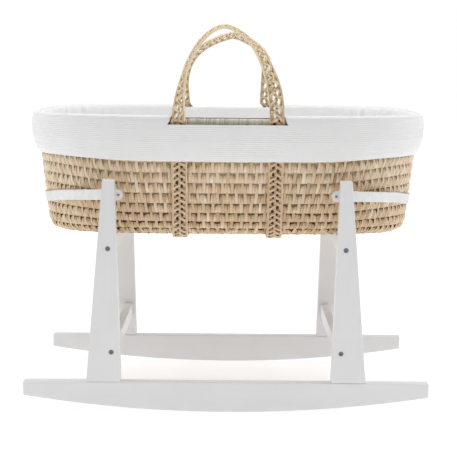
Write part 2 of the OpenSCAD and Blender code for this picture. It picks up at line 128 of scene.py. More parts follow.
# Liner
SKIRT_HEM, SKIRT_TOP = (corner.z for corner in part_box("liner_skirt"))
SKIRT_SHARES = (0.0, 0.09, 0.22, 0.45, 0.75, 0.9, 1.0)
SKIRT_END_GAPS = (0.0030, 0.0072, 0.0105, 0.0136, 0.0118, 0.0092, 0.0056)
SKIRT_SIDE_GAPS = (0.0098, 0.0118, 0.0135, 0.0152, 0.0150, 0.0138, 0.0110)
HEM_RISE = 0.008
HEM_RISE_X = (0.17, 0.40)
REAR_FOLD_RISE = 0.006
REAR_FOLD_Y = 0.16
REAR_FOLD_Z = (RIM_Z - 0.012, RIM_Z + 0.004)
CLOTH_T = 0.0024
RIB_PITCH = 0.0043
RIB_H = 0.00075
SLOT_L = 0.240
SLOT_TAPER = 0.011
SLOT_D = 0.0185
LINING_GAP = 0.0112
LINING_T = 0.0025
LINING_SLOT_X = (0.106, 0.119)
GATHER_H = 0.0062
GATHER_X = (0.235, 0.335)

# Plaits of the bands and handles: three strands of flat leaves between straight edge leaves
STRAND_LEAVES = 3
STRAND_T, STRAND_RISE = 0.25, 0.42
STRAND_BUNCH = 0.25
STRAND_LAP = 1.3
STRAND_WANDER = 0.0003
EDGE_LEAF_W, EDGE_LEAF_T = 0.62, 0.8
PLAIT_CROSSING = (radians(6), radians(64))
BAND_X = 0.098
BAND = {"width": 0.032, "thick": 0.007, "strand_w": 0.0056, "pitch": 0.0405, "edge_w": 0.0046}
GRIP = {"width": 0.0298, "thick": 0.0074, "strand_w": 0.0064, "pitch": 0.0510, "edge_w": 0.0030}

# Arches of the handles. Turns are the height shares where the left and the right leg start and stop to twist
HANDLES = {
    "front_handle": {"face": 1, "height": 0.179, "powers": (1.75, 2.0), "twist": radians(75),
                     "turns": ((-0.45, 0.60), (0.0, 0.95)), "sways": (0.0, -0.0075)},
    "rear_handle": {"face": -1, "height": 0.171, "powers": (1.2, 5.0), "twist": radians(60),
                    "turns": ((-0.03, 0.35), (0.1, 0.9)), "sways": (-0.008, 0.0185)},
}
SWAY_START = 0.08
HANDLE_LEAN = radians(6)
HANDLE_TUCK = 0.010
HINGE = {j["child"]: Vector(j["pos_m"]) for j in frame["joints"] if j["type"] == "hinge"}

# Straps
STRAP_W = 0.022
STRAP_T = 0.0022
STRAP_SAG = 0.0215
STRAP_LEG_X = 0.25478

# Stand: edges sharper and longer than this are rounded. Each kind of wood has a grain's axis and a rounding
SHARP = radians(35)
LONG_EDGE = 0.008
WOOD = {"rocker": (0, 0.0030), "rail": (1, 0.0022), "leg": (2, 0.0022)}

# Mattress: remesh size, pressure, furthest move and frames of its swelling
SWELL_VOXEL = 0.006
SWELL_PRESSURE = 4.0
SWELL_MOST = 0.007
SWELL_FRAMES = 16

# Stage
FLOOR_REACH = 12.0
FLOOR_GLOW = 0.46
FLOOR_FADE = (0.7, 2.4)
WORLD_LIGHT = 0.35
LAMPS = {
    "top_lamp": ((0.0, -0.15, 2.7), (2.8, 2.2), 42),
    "front_lamp": ((0.0, -3.8, 0.6), (3.0, 1.0), 0.4),
    "left_lamp": ((-2.3, 0.1, 1.1), (1.6, 1.8), 12.5),
    "right_lamp": ((2.3, 0.1, 1.1), (1.6, 1.8), 12.5),
}
LAMP_AIM = Vector((0, 0, 0.4))


# Small helpers for shapes


def unit(vectors):
    return vectors / np.maximum(np.linalg.norm(vectors, axis=-1, keepdims=True), 1e-12)


def ease(share):
    share = np.clip(share, 0, 1)
    return share * share * (3 - 2 * share)


def within(value, span):
    """A smooth share from 0 to 1 as a value passes through a span."""
    return ease((value - span[0]) / (span[1] - span[0]))


def lengths(points):
    """Distance along a line of points, from its first."""
    return np.concatenate([[0], np.cumsum(np.linalg.norm(np.diff(points, axis=0), axis=1))])


def resample(points, along, marks):
    """A line of points again, at other marks along it."""
    return np.stack([np.interp(marks, along, points[:, i]) for i in range(points.shape[1])], axis=1)


def evenly(points, count):
    """The line again, with count points evenly spaced along it."""
    along = lengths(points)
    return resample(points, along, np.linspace(0, along[-1], count))


def sizes_at(z):
    """Half length, half width and roundness of the basket's plan at height z."""
    share = np.clip((z - BASE_Z) / (RIM_Z - BASE_Z), 0, 1)
    half_l = (BASE_L + (RIM_L - BASE_L) * share) / 2
    half_w = (BASE_W + (RIM_W - BASE_W) * share) / 2
    return half_l, half_w, BASE_POWER + (RIM_POWER - BASE_POWER) * share


def edge_inset(z):
    """How far the round bottom edge draws the plan in at height z."""
    rise = np.clip(z - BASE_Z, 0, EDGE_R)
    return EDGE_R - np.sqrt(EDGE_R**2 - (EDGE_R - rise) ** 2)


def oval(turns, half_l, half_w, power):
    c, s = np.cos(turns), np.sin(turns)
    x = half_l * np.sign(c) * np.abs(c) ** (2 / power)
    y = half_w * np.sign(s) * np.abs(s) ** (2 / power)
    return x, y


def wall_y(z, x):
    """Half width of the plan at height z and distance x from the middle."""
    half_l, half_w, power = sizes_at(z)
    inset = edge_inset(z)
    return (half_w - inset) * (1 - (abs(x) / (half_l - inset)) ** power) ** (1 / power)


def turn_line(z, insets, count):
    """One turn of the plan, inset at its ends and sides, from the front's middle in count even steps."""
    half_l, half_w, power = sizes_at(z)
    turns = np.linspace(-pi / 2, 1.5 * pi, 5761)
    x, y = oval(turns, half_l - insets[0], half_w - insets[1], power)
    return evenly(np.stack([x, y, np.full_like(x, z)], axis=1), count + 1)


class Skin:
    """The basket's outer face as a grid. u goes once round, v goes from the underside out and up the wall.

    v is 0 where the flat underside ends, ARC where the round edge ends, and then follows the height.
    """

    COUNT = 840
    ARC = EDGE_R * pi / 2
    UNDER = -0.112

    def __init__(self):
        under = [(v, BASE_Z, EDGE_R - v) for v in np.arange(self.UNDER, -0.001, 0.004)]
        edge = [(EDGE_R * t, BASE_Z + EDGE_R * (1 - cos(t)), EDGE_R * (1 - sin(t)))
                for t in np.linspace(0, pi / 2, 14)]
        top = [(self.ARC + z - BASE_Z - EDGE_R, z, 0) for z in np.linspace(BASE_Z + EDGE_R, RIM_Z, 36)[1:]]
        levels = under + edge + top
        self.v = np.array(levels)[:, 0]
        self.points = np.stack([turn_line(z, (inset, inset), self.COUNT) for _, z, inset in levels])
        step_u = np.roll(self.points[:, :-1], -1, axis=1) - np.roll(self.points[:, :-1], 1, axis=1)
        step_u = np.concatenate([step_u, step_u[:, :1]], axis=1)
        self.out = unit(np.cross(step_u, np.gradient(self.points, axis=0)))
        self.girths = np.array([lengths(ring)[-1] for ring in self.points])
        ends = within(np.abs(self.points[-1, :, 0]), END_CROWD_X)
        leaves = np.concatenate([[0], np.cumsum(1 + END_CROWD * (ends[1:] + ends[:-1]) / 2)])
        self.crowding = leaves[-1] / self.COUNT
        self.leaf_shares = leaves / leaves[-1]

    def crowded(self, share):
        """Places u of a share of a row's leaves, which are narrower round the basket's ends."""
        turns = np.floor(share)
        return turns + np.interp(share - turns, self.leaf_shares, np.linspace(0, 1, self.COUNT + 1))

    def girth(self, v):
        return np.interp(v, self.v, self.girths)

    def at(self, u, v, out):
        """Points at the shares u round the basket and the places v, moved outwards by out."""
        column = (u % 1.0) * self.COUNT
        row = np.interp(v, self.v, np.arange(len(self.v)))
        i = np.clip(row.astype(int), 0, len(self.v) - 2)
        j = np.clip(column.astype(int), 0, self.COUNT - 1)
        a, b = (row - i)[..., None], (column - j)[..., None]

        def between(grid):
            low = grid[i, j] * (1 - b) + grid[i, j + 1] * b
            high = grid[i + 1, j] * (1 - b) + grid[i + 1, j + 1] * b
            return low * (1 - a) + high * a

        return between(self.points) + unit(between(self.out)) * out[..., None]

    def v_of(self, z):
        rise = z - BASE_Z
        if rise < EDGE_R:
            return EDGE_R * acos(1 - rise / EDGE_R)
        return self.ARC + rise - EDGE_R


# Meshes


def grid(points, tone=0.5, hue=0.0, slot=0, closed=False, size=(1.0, 1.0)):
    """Strips of quads: points[strip, along, across, xyz]. size is a strip's width and length for fibres."""
    points = np.asarray(points, float)
    if points.ndim == 3:
        points = points[None]
    count = len(points)
    return {
        "points": points, "slot": slot, "closed": closed, "size": size,
        "tone": np.broadcast_to(tone, count), "hue": np.broadcast_to(hue, count),
    }


def shown(name, data):
    """A new object in the scene."""
    made = bpy.data.objects.new(name, data)
    scene.collection.objects.link(made)
    return made


def build(name, grids, materials):
    """One mesh object of several grids, with fibre coordinates, a tone and a hue for each strip."""
    places, faces, slots, tints, coords = [], [], [], [], []
    base = 0
    for g in grids:
        strips, along, across = g["points"].shape[:3]
        index = np.arange(strips * along * across).reshape(strips, along, across) + base
        base += index.size
        right = np.roll(index, -1, axis=2) if g["closed"] else index[:, :, 1:]
        left = index if g["closed"] else index[:, :, :-1]
        quads = np.stack([left[:, :-1], right[:, :-1], right[:, 1:], left[:, 1:]], axis=-1).reshape(-1, 4)
        faces.append(quads)
        slots.append(np.full(len(quads), g["slot"]))
        places.append(g["points"].reshape(-1, 3))
        tints.append(np.repeat([g["tone"], g["hue"]], along * across, axis=1))
        shift = rng.random((strips, 1, 1, 2)) * 7.0
        wide, tall = g["size"]
        flat = np.stack(np.meshgrid(np.linspace(0, wide, across), np.linspace(0, tall, along)), axis=-1)
        coords.append((flat + shift).reshape(-1, 2))
    faces = np.concatenate(faces)
    mesh = bpy.data.meshes.new(name)
    mesh.from_pydata(np.concatenate(places), [], faces.tolist())
    mesh.polygons.foreach_set("material_index", np.concatenate(slots).astype(np.int32))
    mesh.shade_smooth()
    for label, values in zip(("tone", "hue"), np.concatenate(tints, axis=1).astype(np.float32)):
        mesh.attributes.new(label, "FLOAT", "POINT").data.foreach_set("value", values)
    layer = mesh.uv_layers.new(name="fibre")
    layer.data.foreach_set("uv", np.concatenate(coords)[faces.ravel()].astype(np.float32).ravel())
    for material in materials:
        mesh.materials.append(material)
    mesh.validate()
    return shown(name, mesh)


def place(obj, body, node):
    """Rides obj on a body and hides the CAD node that it stands for."""
    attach(obj, body)
    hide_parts(node)


# Materials


class Nodes:
    """Short ways to add nodes to a node tree."""

    def __init__(self, tree):
        self.tree = tree

    def feed(self, socket, value):
        """Links a socket to its source, or sets its own value."""
        if isinstance(value, bpy.types.NodeSocket):
            self.tree.links.new(value, socket)
        else:
            socket.default_value = value

    def fill(self, node, **inputs):
        for key, value in inputs.items():
            self.feed(node.inputs[key.replace("_", " ")], value)

    def add(self, kind, settings=None, **inputs):
        """A new node. A kind without the word Node is a shader node."""
        node = self.tree.nodes.new(kind if "Node" in kind else "ShaderNode" + kind)
        for key, value in (settings or {}).items():
            setattr(node, key, value)
        self.fill(node, **inputs)
        return node

    def maths(self, kind, *values, family="Math"):
        node = self.add(family, {"operation": kind})
        for socket, value in zip(node.inputs, values):
            self.feed(socket, value)
        return node.outputs["Value"]

    def remap(self, value, low, high, span=(0.0, 1.0)):
        """A value in a span, moved to between low and high."""
        inputs = {"From_Min": span[0], "From_Max": span[1], "To_Min": low, "To_Max": high}
        return self.add("MapRange", Value=value, **inputs).outputs["Result"]


class Shader(Nodes):
    """A node material with a Principled shader, and constant values for some of its sockets."""

    def __init__(self, name, **inputs):
        self.material = bpy.data.materials.new(name)
        self.material.use_nodes = True
        super().__init__(self.material.node_tree)
        self.bsdf = self.tree.nodes["Principled BSDF"]
        self.fill(self.bsdf, **inputs)

    def spot(self):
        return self.add("TexCoord").outputs["Object"]

    def scaled(self, vector, scale):
        """Coordinates stretched by a scale for each axis."""
        return self.add("Mapping", Vector=vector, Scale=scale).outputs["Vector"]

    def fibres(self):
        return self.add("UVMap", {"uv_map": "fibre"}).outputs["UV"]

    def noise(self, vector, scale, detail=3.0, roughness=0.55):
        node = self.add("TexNoise", Vector=vector, Scale=scale, Detail=detail, Roughness=roughness)
        return node.outputs["Fac"]

    def bands(self, vector, scale, way, distortion):
        node = self.add("TexWave", {"wave_type": "BANDS", "bands_direction": way},
                        Vector=vector, Scale=scale, Distortion=distortion, Detail=1.0)
        return node.outputs["Fac"]

    def ramp(self, factor, *codes, span=(0.3, 0.7)):
        """A colour from codes that are evenly spaced over a span of the factor."""
        node = self.add("ValToRGB", Fac=factor)
        while len(node.color_ramp.elements) < len(codes):
            node.color_ramp.elements.new(0.5)
        for element, position, code in zip(node.color_ramp.elements, np.linspace(*span, len(codes)), codes):
            element.position = position
            element.color = srgb(code)
        return node.outputs["Color"]

    def mix(self, factor, a, b):
        node = self.add("Mix", {"data_type": "RGBA"}, Factor=factor)
        self.feed(node.inputs[6], a)
        self.feed(node.inputs[7], b)
        return node.outputs[2]

    def dress(self, colour, roughness, height, depth, strength):
        """Joins colour, roughness and bump to the shader, and gives the material."""
        bump = self.add("Bump", Height=height, Distance=depth, Strength=strength)
        self.fill(self.bsdf, Base_Color=colour, Roughness=roughness, Normal=bump.outputs["Normal"])
        return self.material


def srgb(code):
    """A colour code such as d8be96 as linear light."""
    parts = [int(code[i:i + 2], 16) / 255 for i in (0, 2, 4)]
    return (*(p / 12.92 if p <= 0.04045 else ((p + 0.055) / 1.055) ** 2.4 for p in parts), 1)


def straw(name, codes, fibre_scale=(700, 22, 1), crevice_shade=None):
    """Dry palm leaf: a tone for each strip, long fibres, and a few greenish and pinkish strips.

    crevice_shade is the colour of painted shade between the leaves, where they lie close together.
    """
    s = Shader(name)
    tone, hue = (s.add("Attribute", {"attribute_name": label}).outputs["Fac"] for label in ("tone", "hue"))
    fibre = s.noise(s.scaled(s.fibres(), fibre_scale), 1.0, 4.0, 0.6)
    stain = s.noise(s.spot(), 38.0, 2.0)
    level = s.maths("ADD", tone, s.remap(fibre, -0.2, 0.2))
    level = s.maths("ADD", level, s.remap(stain, -0.14, 0.14))
    colour = s.ramp(level, *codes, span=(0, 1))
    colour = s.mix(s.maths("MULTIPLY", hue, 0.55), colour, srgb("b3ab82"))
    colour = s.mix(s.maths("MULTIPLY", hue, -0.5), colour, srgb("d9b096"))
    if crevice_shade:
        # Painted shade: darker where other leaves lie close
        near = s.add("AmbientOcclusion", {"samples": 8, "only_local": True}, Distance=CREVICE_REACH)
        colour = s.mix(s.remap(near.outputs["AO"], 0.75, 0.0), colour, srgb(crevice_shade))
    return s.dress(colour, s.remap(fibre, 0.48, 0.7), fibre, 0.0005, 0.6)


def shade_fill(name, low_codes, high_codes):
    """Painted shade for the recesses inside the weave and the plaits, which may be paler towards the rim."""
    s = Shader(name)
    stain = s.noise(s.spot(), 160.0)
    height = s.remap(s.add("SeparateXYZ", Vector=s.spot()).outputs["Z"], 0.0, 1.0, SHADE_PALE_HEIGHTS)
    low, high = (s.ramp(stain, *codes) for codes in (low_codes, high_codes))
    return s.dress(s.mix(height, low, high), s.remap(stain, 0.82, 0.96), stain, 0.0006, 0.5)


def paint(name, along):
    """White satin paint over wood with a faint grain along one axis."""
    s = Shader(name)
    scale = [150.0] * 3
    scale[along] = 5.0
    grain = s.noise(s.scaled(s.spot(), scale), 1.0, 5.0, 0.6)
    cloud = s.noise(s.spot(), 14.0, 2.0)
    level = s.maths("ADD", s.remap(grain, 0.2, 0.5), s.maths("MULTIPLY", cloud, 0.5))
    colour = s.ramp(level, "e6e6e7", "eeeeef", span=(0.2, 0.8))
    return s.dress(colour, s.remap(cloud, 0.32, 0.46), grain, 0.0003, 0.35)


def bare_wood():
    s = Shader("bare_beech")
    grain = s.noise(s.scaled(s.spot(), (400, 30, 400)), 1.0, 4.0)
    colour = s.ramp(grain, "c39b68", "dcbb8b")
    return s.dress(colour, s.remap(grain, 0.5, 0.7), grain, 0.0002, 0.4)


def zinc():
    """Dull plated steel with a brushed bloom."""
    s = Shader("dull_zinc", Metallic=1.0)
    bloom = s.noise(s.spot(), 900.0)
    colour = s.ramp(bloom, "646669", "8f9195")
    return s.dress(colour, s.remap(bloom, 0.32, 0.55), bloom, 0.0001, 0.3)


def knit(name, low, high, stitch):
    """White cotton knit: fine rows of stitches with a soft surface."""
    s = Shader(name, Sheen_Weight=0.25, Sheen_Roughness=0.5)
    rows = s.bands(s.spot(), 0.32 / stitch, "Z", 1.5)
    fuzz = s.noise(s.spot(), 1400.0, 2.0)
    colour = s.ramp(s.noise(s.spot(), 22.0, 2.0), low, high)
    height = s.maths("ADD", s.maths("MULTIPLY", rows, 0.6), s.maths("MULTIPLY", fuzz, 0.6))
    return s.dress(colour, s.remap(fuzz, 0.82, 0.94), height, 0.0002, 0.18)


def webbing():
    """White flat webbing with fine ribs across it."""
    s = Shader("white_webbing", Sheen_Weight=0.1)
    weave = s.bands(s.fibres(), 260.0, "Y", 0.6)
    colour = s.ramp(s.noise(s.spot(), 60.0, 2.0), "ececeb", "f6f6f5")
    return s.dress(colour, s.remap(weave, 0.68, 0.82), weave, 0.0003, 0.5)


STRAW = straw("palm_leaf", ["a88660", "d1b28a", "e2c6a2", "ecd4b7", "f5e5cf"])
# The plaited leaf is painted darker in its crevices, as painted shade
GOLDEN = straw("plaited_leaf", ["b08d64", "dfc396", "eed8b2", "f6e5c6", "fbf1dc"], (520, 26, 1), "7a582f")
# A paler, greyer copy of the palm leaf for the rim, as painted reflection of the white cloth round the slots
RIM_LEAF_PAINTED_REFLECTION = straw("rim_leaf_painted_reflection", ["bbb1a0", "dcd3c3", "e8e0d1", "efe9dc", "f6f2e9"])
# Dark colours of painted shade for the weave's core
WEAVE_SHADE = shade_fill("weave_painted_shade", ("33200f", "624729"), ("958469", "beb196"))
# Dark colours of painted shade for the core inside the bands
PLAIT_SHADE = shade_fill("plait_painted_shade", ("35230f", "5f452a"), ("453118", "6b5133"))
ZINC = zinc()
BEECH = bare_wood()
KNIT = knit("ribbed_knit", "efefef", "f2f2f2", 0.0013)
LINING = knit("lining_cotton", "f2f2f2", "f5f5f5", 0.0011)
PAD = knit("mattress_cotton", "e7e6e5", "eae9e8", 0.0016)
WEBBING = webbing()


# Stand: the CAD nodes with softened edges


def edge_marks():
    """A node group that marks long sharp edges for rounding, and leaves the small rims of bores."""
    group = bpy.data.node_groups.new("long_edges", "GeometryNodeTree")
    for way in ("INPUT", "OUTPUT"):
        group.interface.new_socket("Geometry", in_out=way, socket_type="NodeSocketGeometry")
    n = Nodes(group)
    shape = n.add("NodeGroupInput").outputs[0]
    shape = n.add("GeometryNodeRemoveAttribute", Geometry=shape, Name="custom_normal").outputs["Geometry"]
    shape = n.add("GeometryNodeSetShadeSmooth", Geometry=shape).outputs["Geometry"]
    angle = n.add("GeometryNodeInputMeshEdgeAngle").outputs["Unsigned Angle"]
    ends = n.add("GeometryNodeInputMeshEdgeVertices").outputs
    span = n.maths("DISTANCE", ends["Position 1"], ends["Position 2"], family="VectorMath")
    lengthy = n.maths("GREATER_THAN", span, LONG_EDGE)
    weight = n.maths("MULTIPLY", n.maths("GREATER_THAN", angle, SHARP), lengthy)
    shape = n.add("GeometryNodeSetShadeSmooth", {"domain": "EDGE"}, Geometry=shape,
                  Shade_Smooth=n.maths("LESS_THAN", angle, SHARP)).outputs["Geometry"]
    shape = n.add("GeometryNodeStoreNamedAttribute", {"data_type": "FLOAT", "domain": "EDGE"}, Geometry=shape,
                  Name="bevel_weight_edge", Value=weight).outputs["Geometry"]
    n.feed(n.add("NodeGroupOutput").inputs[0], shape)
    return group


LONG_EDGES = edge_marks()


def coat(obj, material):
    obj.data.materials.clear()
    obj.data.materials.append(material)


def soften(obj, width):
    """Closes the seams of a CAD node and rounds its long edges."""
    obj.modifiers.new("seams", "WELD").merge_threshold = 0.00002
    flat = obj.modifiers.new("flats", "DECIMATE")
    flat.decimate_type = "DISSOLVE"
    flat.angle_limit = radians(0.3)
    obj.modifiers.new("marks", "NODES").node_group = LONG_EDGES
    bevel = obj.modifiers.new("edges", "BEVEL")
    bevel.width = width
    bevel.segments = 3
    bevel.limit_method = "WEIGHT"
    bevel.use_clamp_overlap = False
    bevel.harden_normals = True


def finish_stand():
    paints = {kind: paint(f"white_paint_{kind}", axis) for kind, (axis, _) in WOOD.items()}
    for name, obj in nodes.items():
        kind = name.rsplit("_", 1)[-1]
        if kind in paints:
            coat(obj, paints[kind])
            soften(obj, WOOD[kind][1])
        elif kind in ("bolts", "nuts", "screws", "rivets"):
            coat(obj, ZINC)
        elif kind == "dowels":
            coat(obj, BEECH)


# Straps


def strap_oval(z, gap, turns):
    half_l, half_w, power = sizes_at(z)
    return oval(turns, half_l + gap, half_w + gap, power)


def strap_section():
    """A flat band's section with round edges: shares of its height, and of its thickness from inside."""
    edge = [(0.97, 0.12), (1.0, 0.5), (0.97, 0.88)]
    face = np.linspace(0.9, -0.9, 6)
    outer = edge + [(h, 1.0) for h in face] + [(-h, t) for h, t in reversed(edge)]
    return np.array(outer + [(h, 0.0) for h in reversed(face)]).T


def strap_half():
    """Sections of a strap from its round tab inside the front leg to the middle of the basket's end."""
    h, t = strap_section()
    half = h * STRAP_W / 2
    low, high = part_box("right_strap")
    strap_z = high.z - STRAP_W / 2
    tab = [(low.x + s * STRAP_W / 2, max(0.04, sqrt(1 - (1 - s) ** 2)))
           for s in (0.0, 0.03, 0.1, 0.22, 0.4, 0.65, 1.0)]
    leg = [(x, 1.0) for x in np.linspace(tab[-1][0], STRAP_LEG_X, 8)[1:]]
    y = STRAP_T * (1 - t) + low.y
    rings = [np.stack([np.full_like(h, x), y, strap_z + half * tall], axis=1) for x, tall in tab + leg]
    turns = np.radians(-np.linspace(1.4, 85, 60))
    x, y = strap_oval(strap_z - STRAP_SAG / 2, CLEAR, turns)
    touch = turns[np.argmin(np.arctan2(y - low.y - STRAP_T, x - STRAP_LEG_X))]
    for share in 1 - np.arange(31) / 30:
        z = strap_z - STRAP_SAG * (1 + cos(pi / 2 * share)) / 2 + half
        rings.append(np.stack([*strap_oval(z, CLEAR + STRAP_T * t, touch * share), z], axis=1))
    return np.array(rings)


def make_straps():
    half = strap_half()
    rings = np.concatenate([half, half[-2::-1] * (1, -1, 1)])
    size = (2 * STRAP_W, lengths(rings[:, 0])[-1])
    for name, points in (("left_strap", rings * (-1, 1, 1)), ("right_strap", rings[:, ::-1])):
        band = build(name + "_webbing", [grid(points, closed=True, size=size)], [WEBBING])
        place(band, "stand", name)


# Woven wall and base


def wrap_profile(along, low, high, top_out):
    """Places and heights of a leaf over a row: tucked in below, round in the middle, top_out at its head."""
    v = low + (high - low) * along
    below = np.clip(1 - 2 * along, 0, 1) ** 2.3
    above = np.clip(2 * along - 1, 0, 1) ** 2.6
    return v, -GROOVE * below + top_out * above


def row_lift(skin, u, v):
    """How far the rows climb towards the basket's two ends."""
    x = skin.at(u, v, np.zeros(u.shape))[..., 0]
    low = END_LIFT_LOW * ease(v / skin.ARC)
    tall = low + (END_LIFT - END_LIFT_LOW) * ease((v - skin.ARC * 0.5) / 0.060)
    fade = 1 - within(v, (skin.v_of(SKIRT_HEM), skin.v_of(WALL_TOP)))
    return tall * fade * within(np.abs(x), END_LIFT_X)


def leaf_strips(skin, row, lefts, rights, high, top_out, slant):
    """Leaves of one row. lefts and rights are each leaf's edges at the row's foot and at its head."""
    v0, v1, run, period = row
    count = len(high)
    along = np.linspace(0, 1, LEAF_POINTS[0])[:, None]
    along = np.broadcast_to(along, (count, *LEAF_POINTS))
    across = np.linspace(-1, 1, LEAF_POINTS[1])
    tops = high[:, None, None] + slant[:, None, None] * across
    v, out = wrap_profile(along, v0 - LEAF_TUCK * (v1 - v0), tops, top_out)
    share = np.clip((v - v0) / (v1 - v0), 0, 1.1)
    left, right = (foot[:, None, None] * (1 - share) + head[:, None, None] * share
                   for foot, head in (lefts, rights))
    u = skin.crowded((left * (1 - across) + right * (1 + across)) / 2 / run)
    crown = -LEAF_CROWN * across**2 - LEAF_CURL * across**6
    lift = rng.normal(0, LEAF_LOOSE, count)[:, None, None] - LEAF_SEAT
    points = skin.at(u, v + row_lift(skin, u, v), out + crown + lift)
    # The leaves are painted darker low on the wall, as painted shade
    high_share = (np.mean(points[..., 2]) - BASE_Z) / (SKIRT_HEM - BASE_Z)
    # Painted light: leaves paler round the ends
    painted_light = END_PAINTED_LIGHT * within(np.abs(np.mean(points[..., 0], axis=(1, 2))), END_PALE_X)
    tone = rng.normal(TONE_LOW + LOW_SHADE_RISE * min(high_share, 1), TONE_SPREAD, count) + painted_light
    pick, much = rng.random(count), rng.random(count)
    hue = np.where(pick < GREEN_SHARE, much, 0) - np.where(pick > 1 - PINK_SHARE, much, 0)
    return grid(points, np.clip(tone, 0.05, 0.97), hue, size=(period / 3, v1 - v0))


def follow(values, turn):
    """The value of each leaf's next neighbour, with a whole turn added after the last."""
    return np.append(values[1:], values[0] + turn)


def row_strips(skin, v0, v1, shift, long_share=1.0):
    """Leaves of one row between v0 and v1: a stitch that bridges to the next row, and two wraps below a gap.

    run is the row's girth as it would be with no leaf narrower than at the sides.
    """
    tall = v1 - v0
    run = skin.girth((v0 + v1) / 2) * skin.crowding
    count = max(8, round(run / PERIOD))
    period = run / count
    row = (v0, v1, run, period)
    foot = (np.arange(count) + shift + rng.normal(0, 0.03, count)) * period
    head = foot + rng.normal(0, 0.0008, count)
    half_low = period * STITCH_HALVES[0] * rng.normal(1, 0.10, count)
    half_top = period * STITCH_HALVES[1] * rng.normal(1, 0.12, count)
    stitch_high = np.full(count, v1 + STITCH_REACH * tall * long_share)
    strips = [leaf_strips(skin, row, (foot - half_low, head - half_top), (foot + half_low, head + half_top),
                          stitch_high, STITCH_OUT, np.zeros(count))]
    left_low, left_top = foot + half_low, head + half_top
    right_low = follow(foot, run) - follow(half_low, 0)
    right_top = follow(head, run) - follow(half_top, 0)
    wide = rng.choice(3, count, p=[0.40, 0.26, 0.34])
    gaps = np.where(wide[:, None] == np.arange(3), GAP_WIDE, GAP_NARROW) * rng.normal(1, 0.2, (count, 3))
    split = rng.normal(0.5, 0.07, count)
    room = right_top - left_top - gaps.sum(axis=1)
    first = (left_top + gaps[:, 0], left_top + gaps[:, 0] + room * split)
    second = (first[1] + gaps[:, 1], right_top - gaps[:, 2])
    middle = left_low + (right_low - left_low) * split
    dash = tall * DASH_SHARE * np.clip(rng.normal(1, 0.2, count), 0.5, 1.5)
    x = skin.at(skin.crowded(foot / run), np.full(count, v1), np.zeros(count))[:, 0]
    dash = dash * (1 - END_CLOSED * within(np.abs(x), END_PALE_X))
    left_wrap = (left_low, first[0]), (middle - WRAP_SEAM, first[1])
    right_wrap = (middle + WRAP_SEAM, second[0]), (right_low, second[1])
    for wrap, drops, slants in ((left_wrap, (1.25, 1.05, 0.8), (0.35, -0.25, 0.1)),
                                (right_wrap, (0.8, 1.05, 1.25), (-0.1, 0.25, -0.35))):
        high = v1 - dash * np.choose(wide, drops)
        strips.append(leaf_strips(skin, row, *wrap, high, -GROOVE, dash * np.choose(wide, slants)))
    return strips


def row_edges(skin):
    """Places v of the gaps between rows, from the underside to the rim."""
    first = skin.v_of(ROW_FIRST_Z)
    edges = [first]
    while edges[0] - ROW_FIRST > skin.UNDER + 0.002:
        edges.insert(0, edges[0] - ROW_FIRST)
    step = ROW_FIRST
    top = skin.v_of(WALL_TOP)
    while edges[-1] + step < top - 0.006:
        edges.append(edges[-1] + step)
        step = min(step + ROW_GROWTH, ROW_MOST)
    edges.append(top)
    return edges, first


def shell(skin, v_low, v_high, steps, out, inner):
    """A closed band of the skin's shape: from its face at out to one at inner below it."""
    u = np.linspace(0, 1, 181)
    v = np.linspace(v_low, v_high, steps)
    face_u, face_v = np.meshgrid(u, v)
    outer = skin.at(face_u, face_v, np.full(face_u.shape, out))
    back = skin.at(face_u, face_v, np.full(face_u.shape, inner))[::-1]
    return np.concatenate([outer, back, outer[:1]])


def make_basket():
    skin = Skin()
    edges, first = row_edges(skin)
    wall, base = [], []
    for i, (v0, v1) in enumerate(zip(edges, edges[1:])):
        strips = row_strips(skin, v0, v1, 0.5 * (i % 2), 1.0 if v1 < edges[-1] - 0.001 else 0.1)
        (wall if v1 > first - 0.001 else base).extend(strips)
    foot = skin.v_of(BASE_Z + BASE_T)
    # Cores of painted shade behind the leaves of the wall and the base
    wall.append(grid(shell(skin, foot, edges[-1], 24, SHADE_CORE_OUT, -WALL_T), slot=1))
    base.append(grid(shell(skin, skin.UNDER, foot, 40, SHADE_CORE_OUT, BASE_IN), slot=1))
    base.append(grid(middle_strip(), 0.45, size=(0.02, 0.5)))
    place(build("basket_wall_weave", wall, [STRAW, WEAVE_SHADE]), "basket", "basket_wall")
    place(build("basket_base_weave", base, [STRAW, WEAVE_SHADE]), "basket", "basket_base")
    make_rim(skin)


def middle_strip():
    """The long first coil in the middle of the underside."""
    half_w = BASE_W / 2 - EDGE_R + Skin.UNDER
    half_l = BASE_L / 2 - EDGE_R + Skin.UNDER
    x = np.linspace(-half_l, half_l, 60)
    y = np.linspace(-1, 1, 9)
    taper = np.sqrt(np.clip(1 - (np.abs(x) / half_l) ** 8, 0, 1))
    z = BASE_Z + 0.0008 + 0.0036 * np.abs(np.sin(1.5 * pi * y)) ** 3
    return np.stack(np.broadcast_arrays(x[:, None], y * half_w * taper[:, None], z), axis=-1)[:, ::-1]


